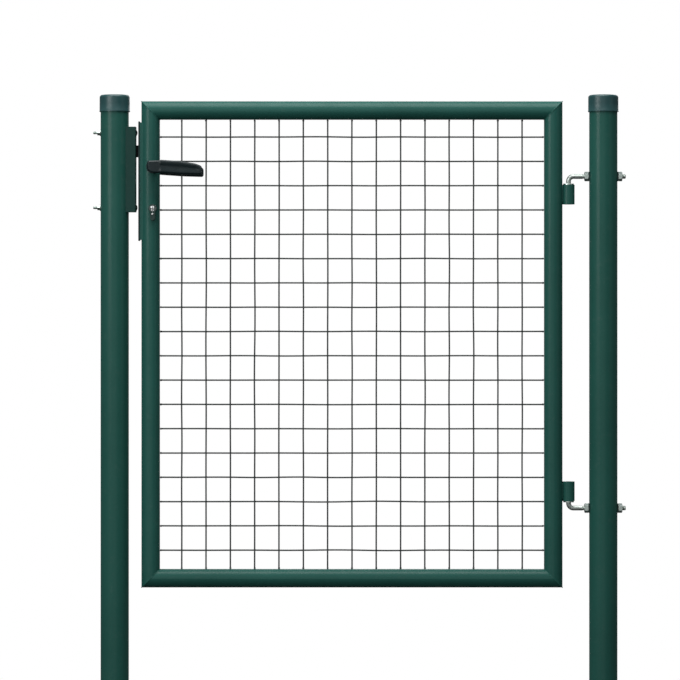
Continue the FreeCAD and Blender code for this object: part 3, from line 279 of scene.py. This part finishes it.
class Form:
    """Points and faces of one piece, collected from sweeps, turned shapes and lofts."""

    def __init__(self):
        self.points = []
        self.faces = []

    def loft(self, loops, closed=False):
        """A skin over loops of equally many points, capped at both ends unless it is closed."""
        first = len(self.points)
        count = len(loops[0])
        for loop in loops:
            self.points.extend(loop)
        rows = len(loops) if closed else len(loops) - 1
        for row in range(rows):
            here = first + row * count
            there = first + (row + 1) % len(loops) * count
            for n in range(count):
                after = (n + 1) % count
                self.faces.append((here + n, here + after, there + after, there + n))
        if not closed:
            self.faces.append(tuple(first + n for n in reversed(range(count))))
            last = first + (len(loops) - 1) * count
            self.faces.append(tuple(last + n for n in range(count)))

    def sweep(self, path, radius, sides=12, closed=False):
        """A round bar along a path; radius is a number or a function of the point's index."""
        loops = []
        side = None
        for n, point in enumerate(path):
            before = path[n - 1] if closed or n else point
            after = path[(n + 1) % len(path)] if closed or n + 1 < len(path) else point
            along = (after - before).normalized()
            if side is None:
                side = along.orthogonal().normalized()
            side = (side - along * side.dot(along)).normalized()
            other = along.cross(side)
            size_here = radius(n) if callable(radius) else radius
            loops.append([point + size_here * (side * math.cos(turn) + other * math.sin(turn))
                          for turn in (math.tau * k / sides for k in range(sides))])
        self.loft(loops, closed)

    def turned(self, profile, centre, axis_turn=AROUND_Z, sides=64):
        """A turned shape: profile is (radius, height) pairs along the axis from centre."""
        self.loft([[centre + axis_turn @ Vector((radius * math.cos(turn),
                                                 radius * math.sin(turn), height))
                    for turn in (math.tau * k / sides for k in range(sides))]
                   for radius, height in profile])

    def blob(self, centre, radii, sides=8, rows=5):
        """A flattened drop of weld metal."""
        loops = []
        for row in range(rows):
            lean = math.pi * (row + 0.5) / rows
            loops.append([centre + Vector((radii[0] * math.sin(lean) * math.cos(turn),
                                           radii[1] * math.cos(lean),
                                           radii[2] * math.sin(lean) * math.sin(turn)))
                          for turn in (math.tau * k / sides for k in range(sides))])
        self.loft(loops)

    def piece(self, name, body, slot, *nodes, finish=None, sharp=40):
        """Makes the mesh, lets it ride a body and, where nodes are named, replaces them."""
        mesh = bpy.data.meshes.new(name)
        mesh.from_pydata(self.points, [], self.faces)
        tidy = bmesh.new()
        tidy.from_mesh(mesh)
        bmesh.ops.recalc_face_normals(tidy, faces=tidy.faces)
        tidy.to_mesh(mesh)
        tidy.free()
        mesh.shade_smooth()
        mesh.set_sharp_from_angle(angle=math.radians(sharp))
        mesh.materials.append(finish or FINISHES[slot])
        item = bpy.data.objects.new(name, mesh)
        bpy.context.scene.collection.objects.link(item)
        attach(item, body)
        if nodes:
            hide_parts(*nodes)
        return item


# ---------------------------------------------------------------- mesh of wires
PITCH = 50 * MM


def wire_places(node, axis):
    """The middle lines of a row of equal wires, worked out from the row's box."""
    low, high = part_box(node)
    radius = (high.y - low.y) / 2
    count = round((high[axis] - low[axis] - 2 * radius) / PITCH) + 1
    return [low[axis] + radius + n * PITCH for n in range(count)], (low.y + high.y) / 2, radius


def wires():
    """Drawn wires with a little sway, spot-welded where they cross and fillet-welded to the tubes."""
    luck = random.Random(5)
    columns, column_y, radius = wire_places("upright_wires", 0)
    rows, row_y, _ = wire_places("cross_wires", 2)
    low_z, high_z = (corner.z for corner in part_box("upright_wires"))
    low_x, high_x = (corner.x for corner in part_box("cross_wires"))
    inset = 3 * MM
    steps = 72

    def sway():
        """A smooth sideways wander that is small beside the wire."""
        lean = luck.uniform(-0.5, 0.5) * MM
        waves = [(luck.uniform(0.10, 0.32) * MM, luck.uniform(0.6, 5.5), luck.uniform(0, 6.3))
                 for _ in range(3)]

        def offset(share):
            wander = sum(size * math.sin(math.tau * pace * share + start)
                         for size, pace, start in waves)
            return lean * (share - 0.5) + wander * math.sin(math.pi * share)
        return offset

    uprights, crosses, welds = Form(), Form(), Form()
    column_sway = [sway() for _ in columns]
    row_sway = [sway() for _ in rows]
    for x, offset in zip(columns, column_sway):
        uprights.sweep([Vector((x + offset(n / steps), column_y,
                                low_z + inset + (high_z - low_z - 2 * inset) * n / steps))
                        for n in range(steps + 1)], radius, sides=10)
    for z, offset in zip(rows, row_sway):
        crosses.sweep([Vector((low_x + inset + (high_x - low_x - 2 * inset) * n / steps, row_y,
                               z + offset(n / steps)))
                       for n in range(steps + 1)], radius, sides=10)
    for x, shift_x in zip(columns, column_sway):
        for z, shift_z in zip(rows, row_sway):
            spot = Vector((x + shift_x((z - low_z) / (high_z - low_z)), (column_y + row_y) / 2,
                           z + shift_z((x - low_x) / (high_x - low_x))))
            swell = luck.uniform(1.08, 1.28)
            welds.blob(spot, (radius * swell, radius * 0.75, radius * swell))
    for x in columns:
        for z, way in ((low_z + radius, 1), (high_z - radius, -1)):
            welds.blob(Vector((x, column_y, z + way * radius * 0.4)),
                       (radius * luck.uniform(1.3, 1.6), radius * 1.3, radius * 1.3))
    for z in rows:
        for x, way in ((low_x + radius, 1), (high_x - radius, -1)):
            welds.blob(Vector((x + way * radius * 0.4, row_y, z)),
                       (radius * 1.3, radius * 1.3, radius * luck.uniform(1.3, 1.6)))
    uprights.piece("wavy_uprights", "gate_leaf", "wire_paint", "upright_wires")
    crosses.piece("wavy_crosses", "gate_leaf", "wire_paint", "cross_wires")
    welds.piece("wire_welds", "gate_leaf", "wire_paint")


# ---------------------------------------------------------------- weld beads
def corner_welds():
    """A dressed bead round each mitre of the leaf's frame."""
    luck = random.Random(11)
    low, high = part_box("top_rail")
    radius = (high.y - low.y) / 2
    top = (low.z + high.z) / 2
    bottom = middle("bottom_rail").z
    beads = Form()
    steps = 180
    for x, side in ((low.x + radius, -1), (high.x - radius, 1)):
        for z, up in ((top, 1), (bottom, -1)):
            phase = luck.uniform(0, 6)
            path = [Vector((x + side * radius * math.sin(turn), radius * math.cos(turn),
                            z + up * radius * math.sin(turn)))
                    for turn in (math.tau * n / steps for n in range(steps))]
            beads.sweep(path, lambda n: (0.75 + 0.16 * math.sin(math.tau * n / 5 + phase)
                                         + 0.12 * math.sin(n / 7 + phase)) * MM,
                        sides=8, closed=True)
    beads.piece("mitre_welds", "gate_leaf", "frame_paint")


def hinge_beads():
    """Rippled fillets in the grooves between the hinge sockets and the stile."""
    beads = Form()
    reach = 3.4 * MM
    ripple = 2.1 * MM
    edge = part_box("hinge_stile")[1].x
    for socket in ("upper_hinge_socket", "lower_hinge_socket"):
        low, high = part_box(socket)
        for side in (-1, 1):
            start, end = low.z + 3 * MM, high.z - 3 * MM
            steps = round((end - start) / ripple) * 6
            path = [Vector((edge - 0.1 * MM, side * reach, start + (end - start) * n / steps))
                    for n in range(steps + 1)]

            def bead(n):
                ends = min(1, 0.45 + min(n, steps - n) / 8)
                return (2.3 + 0.32 * abs(math.sin(math.pi * n / 6))) * ends * MM
            beads.sweep(path, bead, sides=12)
    beads.piece("socket_welds", "gate_leaf", "frame_paint", "hinge_welds", sharp=60)


# ---------------------------------------------------------------- threads and nuts
def threaded(form, start, along, radius, length, pitch, sides=28):
    """A screw thread along +X or -X from start, with a small chamfer at its free end."""
    per_turn = 10
    count = round(length / pitch * per_turn)
    depth = 0.54 * pitch  # the usual depth of a metric thread
    loops = []
    for n in range(count + 1):
        travel = length * n / count
        chamfer = max(0, travel - (length - pitch)) * 0.8
        loop = []
        for k in range(sides):
            turn = math.tau * k / sides
            phase = (travel / pitch + k / sides) % 1
            groove = depth * min(1, 1.25 * abs(2 * phase - 1))
            reach = radius - max(groove, chamfer)
            loop.append(start + Vector((along * travel, reach * math.cos(turn),
                                        reach * math.sin(turn))))
        loops.append(loop)
    form.loft(loops)


def nut_shape(form, start, flats, thick, turn_of=0.0):
    """A hexagon nut along +X from start, its corners chamfered at both faces."""
    face = flats / 2 * 0.96
    bore = face * 0.62
    slope = math.tan(math.radians(30))
    sides = 96
    turns = [math.tau * k / sides for k in range(sides)]

    def ring(reach, turn, level):
        return start + Vector((level, reach * math.cos(turn), reach * math.sin(turn)))

    def round_ring(radius, level):
        return [ring(radius, turn, level) for turn in turns]

    def corner_ring(level, inward):
        """The hexagon, set back from its face where a corner stands past the round."""
        loop = []
        for turn in turns:
            lean = (turn + turn_of) % (math.pi / 3) - math.pi / 6
            reach = flats / 2 / math.cos(lean)
            loop.append(ring(reach, turn, level + inward * (reach - face) * slope))
        return loop

    form.loft([round_ring(bore, 0), round_ring(face, 0), corner_ring(0, 1),
               corner_ring(thick, -1), round_ring(face, thick), round_ring(bore, thick)])


def hinge_pins():
    """Bent galvanised pins, threaded where they stick out of the post, with chamfered nuts."""
    thread_pitch = 1.5 * MM
    nut_thick = 8.5 * MM
    thread_before_nuts = 4 * MM
    thread_overlap = 0.2 * MM
    tip_chamfer = 1.5 * MM
    for place, down in (("upper", True), ("lower", False)):
        low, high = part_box(place + "_hinge_pin")
        radius = (high.y - low.y) / 2
        bend = radius * 2
        leg_x = low.x + radius
        bar_z = high.z - radius if down else low.z + radius
        tip_z = low.z if down else high.z
        way = -1 if down else 1
        nuts_low, nuts_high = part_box(place + "_hinge_nuts")
        thread_start = nuts_low.x - thread_before_nuts
        path = [Vector((leg_x, 0, tip_z)), Vector((leg_x, 0, tip_z - way * tip_chamfer))]
        path += [Vector((leg_x, 0, tip_z + (bar_z + way * bend - tip_z) * n / 6))
                 for n in range(1, 6)]
        path += [Vector((leg_x + bend - bend * math.cos(turn), 0,
                         bar_z + way * bend - way * bend * math.sin(turn)))
                 for turn in (math.pi / 2 * n / 12 for n in range(13))]
        path.append(Vector((thread_start, 0, bar_z)))
        bar = Form()
        bar.sweep(path, lambda n: radius * (0.82 if n == 0 else 0.995), sides=32)
        threaded(bar, Vector((thread_start - thread_overlap, 0, bar_z)), 1, radius,
                 high.x - thread_start + thread_overlap, thread_pitch)
        bar.piece(place + "_bent_pin", "posts", "galvanised", place + "_hinge_pin", sharp=50)
        nuts = Form()
        tall, deep = nuts_high.z - nuts_low.z, nuts_high.y - nuts_low.y
        corner_turn = 0.0 if tall < deep else math.pi / 6
        for start in (nuts_low.x, nuts_high.x - nut_thick):
            nut_shape(nuts, Vector((start, 0, bar_z)), min(tall, deep), nut_thick, corner_turn)
        nuts.piece(place + "_chamfered_nuts", "posts", "zinc", place + "_hinge_nuts", sharp=25)


def keep_hardware():
    """Carriage bolts of the keep: domed heads, rolled threads and small chamfered nuts."""
    low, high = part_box("keep_bolts")
    radius = 3 * MM
    head = 7.5 * MM
    pitch = 1.0 * MM
    nuts_low, nuts_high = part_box("keep_nuts")
    face_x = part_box("keep_channel")[1].x
    heights = (low.z + head, high.z - head)
    bolts, nuts = Form(), Form()
    flats = min(nuts_high.y - nuts_low.y, 10 * MM)
    for z in heights:
        centre = Vector((0, 0, z))
        rise = high.x - face_x
        dome = [(0.02 * head, high.x), (0.3 * head, high.x - rise * 0.08),
                (0.6 * head, high.x - rise * 0.34), (0.85 * head, high.x - rise * 0.68),
                (0.97 * head, high.x - rise * 0.92), (head, face_x + 0.02 * MM),
                (radius, face_x), (radius, nuts_high.x)]
        bolts.turned(dome, centre, AROUND_X, sides=40)
        threaded(bolts, Vector((nuts_high.x, 0, z)), -1, radius, nuts_high.x - low.x, pitch)
        nut_shape(nuts, Vector((nuts_low.x, 0, z)), flats, nuts_high.x - nuts_low.x)
    bolts.piece("carriage_bolts", "posts", "zinc", "keep_bolts", sharp=50)
    nuts.piece("keep_chamfered_nuts", "posts", "zinc", "keep_nuts", sharp=25)


# ---------------------------------------------------------------- post caps
def caps():
    """Moulded caps with a soft rim, a slightly domed top and a thin bottom lip."""
    for side in ("left", "right"):
        node = side + "_post_cap"
        low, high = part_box(node)
        centre = middle(node)
        radius = (high.x - low.x) / 2
        curve = 5.2 * MM
        rise = high.z - low.z
        dome = 0.9 * MM
        profile = [(radius - 2.3 * MM, 0.4 * MM), (radius - 1.0 * MM, 0),
                   (radius - 0.15 * MM, 0.3 * MM), (radius, 1.2 * MM), (radius - 0.1 * MM, 2.4 * MM),
                   (radius - 0.45 * MM, 3.0 * MM), (radius - 0.5 * MM, rise * 0.5)]
        profile += [(radius - 0.55 * MM - curve * (1 - math.cos(turn)),
                     rise - dome - curve * (1 - math.sin(turn)))
                    for turn in (math.pi / 2 * n / 10 for n in range(11))]
        inner = radius - 0.55 * MM - curve
        profile += [(inner * (1 - n / 8), rise - dome * (1 - n / 8) ** 2) for n in range(1, 8)]
        profile.append((0.2 * MM, rise))
        form = Form()
        form.turned(profile, Vector((centre.x, centre.y, low.z)), sides=96)
        form.piece(side + "_moulded_cap", "posts", "cap_plastic", node, sharp=60)


# ---------------------------------------------------------------- levers
def smooth_step(value, start, end):
    """0 up to start, 1 from end on, and a soft rise between them."""
    share = min(1, max(0, (value - start) / (end - start)))
    return share * share * (3 - 2 * share)


def straight(points, x):
    """The height at x on the straight lines through (x, height) points."""
    for (x0, z0), (x1, z1) in zip(points, points[1:]):
        if x <= x1:
            return z0 + (z1 - z0) * max(0, x - x0) / (x1 - x0)
    return points[-1][1]


def bar_section(deep, half, corner, dent, chamfer):
    """A rounded rectangle as (outward, up) pairs, its outer face hollowed by dent.

    The upper outer corner turns from a round into a flat chamfer as chamfer goes from 0 to 1.
    """
    corner = min(corner, deep * 0.9, half * 0.9)
    points = []
    face = 14
    for n in range(face + 1):
        share = 2 * n / face - 1
        hollow = dent * math.cos(share * math.pi / 2) ** 2
        points.append((deep - hollow, share * (half - corner)))
    for first, centre in ((0, (deep - corner, half - corner)),
                          (90, (corner - deep, half - corner)),
                          (180, (corner - deep, corner - half)),
                          (270, (deep - corner, corner - half))):
        for step in range(1, 6):
            turn = math.radians(first + 15 * step)
            across, up = math.cos(turn), math.sin(turn)
            if first == 0:
                share = step / 6
                across += chamfer * (1 - share - across)
                up += chamfer * (share - up)
            points.append((centre[0] + corner * across, centre[1] + corner * up))
    return points


def lever(side, name, node):
    """A nylon lever: a rounded root block, a small step, then the hollowed, drooping grip."""
    spindle = middle("spindle")
    low_corner, high_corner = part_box(node)
    outer = max(abs(low_corner.y), abs(high_corner.y))
    thick = 14 * MM
    left = low_corner.x + 0.3 * MM - spindle.x
    right = high_corner.x - 1.8 * MM - spindle.x
    long = right - left
    top = [(left, 11.8), (left + 0.22 * long, 12.6), (left + 0.26 * long, 13.4),
           (left + 0.62 * long, 10.6), (left + 0.88 * long, 5.9), (right, 1.0)]
    low = [(left, -12.6), (left + 0.22 * long, -13.2), (left + 0.26 * long, -13.7),
           (left + 0.65 * long, -16.6), (right, -17.6)]
    nose_top, nose_low, tip = 3.5 * MM, 15 * MM, 4.5 * MM
    tip_middle = -7.5 * MM
    step_x, step_half, notch_half = left + 0.235 * long, 1.2 * MM, 0.9 * MM
    steps = 84
    loops = []
    for n in range(steps + 1):
        x = left + long * (0.5 - 0.5 * math.cos(math.pi * n / steps))
        high_z = straight(top, x) * MM
        low_z = straight(low, x) * MM
        from_left = x - left
        to_tip = right - x
        if from_left < nose_top:
            high_z -= nose_top - math.sqrt(max(0, nose_top ** 2 - (nose_top - from_left) ** 2))
        if from_left < nose_low:
            low_z += 0.8 * (nose_low
                            - math.sqrt(max(0, nose_low ** 2 - (nose_low - from_left) ** 2)))
        if to_tip < tip:
            close = 0.42 * (1 - math.sqrt(max(0, 1 - (1 - to_tip / tip) ** 2)))
            high_z += (tip_middle - high_z) * close
            low_z += (tip_middle - low_z) * close
        grip = smooth_step(x, step_x - step_half, step_x + step_half)
        notch = math.exp(-((x - step_x) / notch_half) ** 2)
        high_z -= 0.8 * MM * notch
        half = (high_z - low_z) / 2
        set_back = 1.5 * MM * (1 - grip)
        ends = min(1, 0.40 + from_left / (6 * MM), 0.55 + to_tip / (4 * MM))
        deep = (thick - set_back) / 2 * ends
        centre_y = outer - thick / 2 - set_back / 2
        dent = 1.5 * MM * grip * smooth_step(to_tip, 2 * MM, 16 * MM)
        corner = (2.8 + 1.4 * grip) * MM
        loops.append([spindle + Vector((x, side * (centre_y + across), (high_z + low_z) / 2 + up))
                      for across, up in bar_section(deep, half, corner, dent, 1 - grip)])
    form = Form()
    form.loft(loops)
    stand = outer - thick
    hub = 10.5 * MM
    profile = [(hub - 1.2 * MM, 21.8 * MM), (hub - 0.3 * MM, 22.2 * MM), (hub, 23.2 * MM),
               (hub, stand - 5 * MM), (hub + 0.6 * MM, stand - 2.2 * MM),
               (hub + 1.6 * MM, stand), (hub + 1.6 * MM, stand + 3 * MM)]
    form.turned([(radius, side * level) for radius, level in profile], spindle, AROUND_Y,
                sides=72)
    form.piece(name, "handle", "handle_black", node, sharp=42)


def levers():
    lever(-1, "front_nylon_lever", "front_lever")
    lever(1, "back_nylon_lever", "back_lever")


# ---------------------------------------------------------------- lock details
def key_guides():
    """Bright lobes either side of each key slot, and a small bright pin in the housing below."""
    slot_half = 0.5 * MM
    proud = 0.3 * MM
    guides, pins = Form(), Form()
    for side, node in ((-1, "front_plug"), (1, "back_plug")):
        centre = middle(node)
        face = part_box(node)[0 if side < 0 else 1].y
        for radius, rise in ((3.4 * MM, 1.6 * MM), (2.3 * MM, -3.9 * MM)):
            reach = math.acos(slot_half / radius)
            for hand in (-1, 1):
                outline = [(hand * radius * math.cos(turn), rise + radius * math.sin(turn))
                           for turn in (reach * (n / 8 - 1) for n in range(17))]
                middle_x = hand * (slot_half + radius) / 2
                loops = []
                for share, lift in ((1, -0.2 * MM), (1, proud * 0.7), (0.88, proud)):
                    loops.append([Vector((centre.x + middle_x + (x - middle_x) * share,
                                          face + side * lift,
                                          centre.z + rise + (z - rise) * share))
                                  for x, z in outline])
                guides.loft(loops)
        housing_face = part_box("cylinder_housing")[0 if side < 0 else 1].y
        pin = Vector((centre.x, housing_face, centre.z - 11.8 * MM))
        dome = ((1.9 * MM, -0.2 * MM), (1.9 * MM, 0.1 * MM), (1.5 * MM, 0.4 * MM),
                (0.8 * MM, 0.55 * MM), (0.1 * MM, 0.6 * MM))
        pins.turned([(radius, side * lift) for radius, lift in dome], pin, AROUND_Y, sides=32)
    guides.piece("key_guides", "cylinder_plug", "nickel", finish=BRIGHT_NICKEL, sharp=30)
    pins.piece("housing_pins", "gate_leaf", "cylinder_body", finish=BRIGHT_NICKEL, sharp=50)


def latch_spring():
    """The coil behind the latch, with closed end turns."""
    low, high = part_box("latch_spring")
    wire = 1.2 * MM
    coil = (high.y - low.y - wire) / 2
    centre = middle("latch_spring")
    turns, closed = 5.5, 0.8
    start, end = low.x + 0.55 * wire, high.x - 0.55 * wire
    slow = closed * wire * 1.02
    steps_per_turn = 28
    count = round(turns * steps_per_turn)
    path = []
    for n in range(count + 1):
        turn = n / steps_per_turn
        if turn < closed:
            travel = start + slow * turn / closed
        elif turn > turns - closed:
            travel = end - slow * (turns - turn) / closed
        else:
            share = (turn - closed) / (turns - 2 * closed)
            travel = start + slow + (end - start - 2 * slow) * share
        path.append(Vector((travel, centre.y + coil * math.cos(math.tau * turn),
                            centre.z + coil * math.sin(math.tau * turn))))
    form = Form()
    form.sweep(path, wire / 2, sides=10)
    spring = form.piece("coiled_spring", "gate_leaf", SLOTS["latch_spring"], "latch_spring")
    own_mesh(spring)


# ---------------------------------------------------------------- stage
def floor():
    """A pale ground that the object's own surfaces do not mirror."""
    bpy.ops.mesh.primitive_plane_add(size=5, location=(0, 0, 0))
    item = bpy.context.object
    item.name = "floor"
    n = Nodes("pale floor")
    tone = n.blend(n.spread(n.noise(2, detail=3), 0, 1), (0.80, 0.80, 0.79), (0.84, 0.84, 0.83))
    item.data.materials.append(n.finish(tone, n.spread(n.noise(5), 0.75, 0.9)))
    item.visible_diffuse = False
    item.visible_glossy = False


def daylight():
    """Studio light from above, white where the camera looks past the object."""
    world = bpy.data.worlds.new("studio")
    world.use_nodes = True
    bpy.context.scene.world = world
    tree = world.node_tree
    shown = tree.nodes["Background"]
    shown.inputs["Color"].default_value = (1, 1, 1, 1)
    shown.inputs["Strength"].default_value = 1.0
    fill = tree.nodes.new("ShaderNodeBackground")
    fill.inputs["Color"].default_value = (0.93, 0.97, 1.0, 1)
    direction = tree.nodes.new("ShaderNodeTexCoord")
    parts = tree.nodes.new("ShaderNodeSeparateXYZ")
    height = tree.nodes.new("ShaderNodeMapRange")
    for name, number in (("From Min", -0.25), ("From Max", 0.7), ("To Min", 0.06),
                         ("To Max", 0.34)):
        height.inputs[name].default_value = number
    tree.links.new(direction.outputs["Generated"], parts.inputs["Vector"])
    tree.links.new(parts.outputs["Z"], height.inputs["Value"])
    tree.links.new(height.outputs["Result"], fill.inputs["Strength"])
    seen = tree.nodes.new("ShaderNodeLightPath")
    mix = tree.nodes.new("ShaderNodeMixShader")
    tree.links.new(seen.outputs["Is Camera Ray"], mix.inputs["Fac"])
    tree.links.new(fill.outputs["Background"], mix.inputs[1])
    tree.links.new(shown.outputs["Background"], mix.inputs[2])
    tree.links.new(mix.outputs["Shader"], tree.nodes["World Output"].inputs["Surface"])


def soft_box(name, place, target, wide, tall, power):
    """A rectangular area light that faces its target."""
    light = bpy.data.lights.new(name, "AREA")
    light.shape = "RECTANGLE"
    light.size = wide
    light.size_y = tall
    light.energy = power
    item = bpy.data.objects.new(name, light)
    bpy.context.scene.collection.objects.link(item)
    item.location = place
    item.rotation_euler = (Vector(target) - Vector(place)).to_track_quat("-Z", "Y").to_euler()


def lights():
    gate = (0, 0, 0.95)
    soft_box("key", (-3.2, -3.4, 2.4), gate, 2.2, 2.2, 88)
    soft_box("top", (-0.2, -0.7, 4.2), gate, 3.4, 2.6, 140)
    soft_box("side", (3.8, -2.0, 1.6), gate, 1.4, 1.8, 4)
    soft_box("strip", (-3.0, -5.0, 1.2), (0, 0, 1.2), 0.25, 3.0, 5)
    soft_box("front", (0, -9.0, 1.8), gate, 5.0, 5.0, 55)
    soft_box("back", (1.2, 5.0, 3.2), gate, 3.0, 3.0, 60)


def camera():
    """Square on to the gate, with the posts running out of the bottom of the picture."""
    distance = 8.0
    width_in_view = 1.3988
    lens = bpy.data.cameras.new("camera")
    lens.sensor_width = 36
    lens.lens = lens.sensor_width * distance / width_in_view
    lens.clip_end = 60
    item = bpy.data.objects.new("camera", lens)
    bpy.context.scene.collection.objects.link(item)
    item.location = (-0.0391, -distance, 0.999)
    item.rotation_euler = (math.radians(90), 0, 0)
    bpy.context.scene.camera = item


dress_nodes()
wires()
corner_welds()
hinge_beads()
hinge_pins()
keep_hardware()
caps()
levers()
key_guides()
latch_spring()
floor()
daylight()
lights()
camera()
bpy.context.scene.view_settings.view_transform = "Standard"
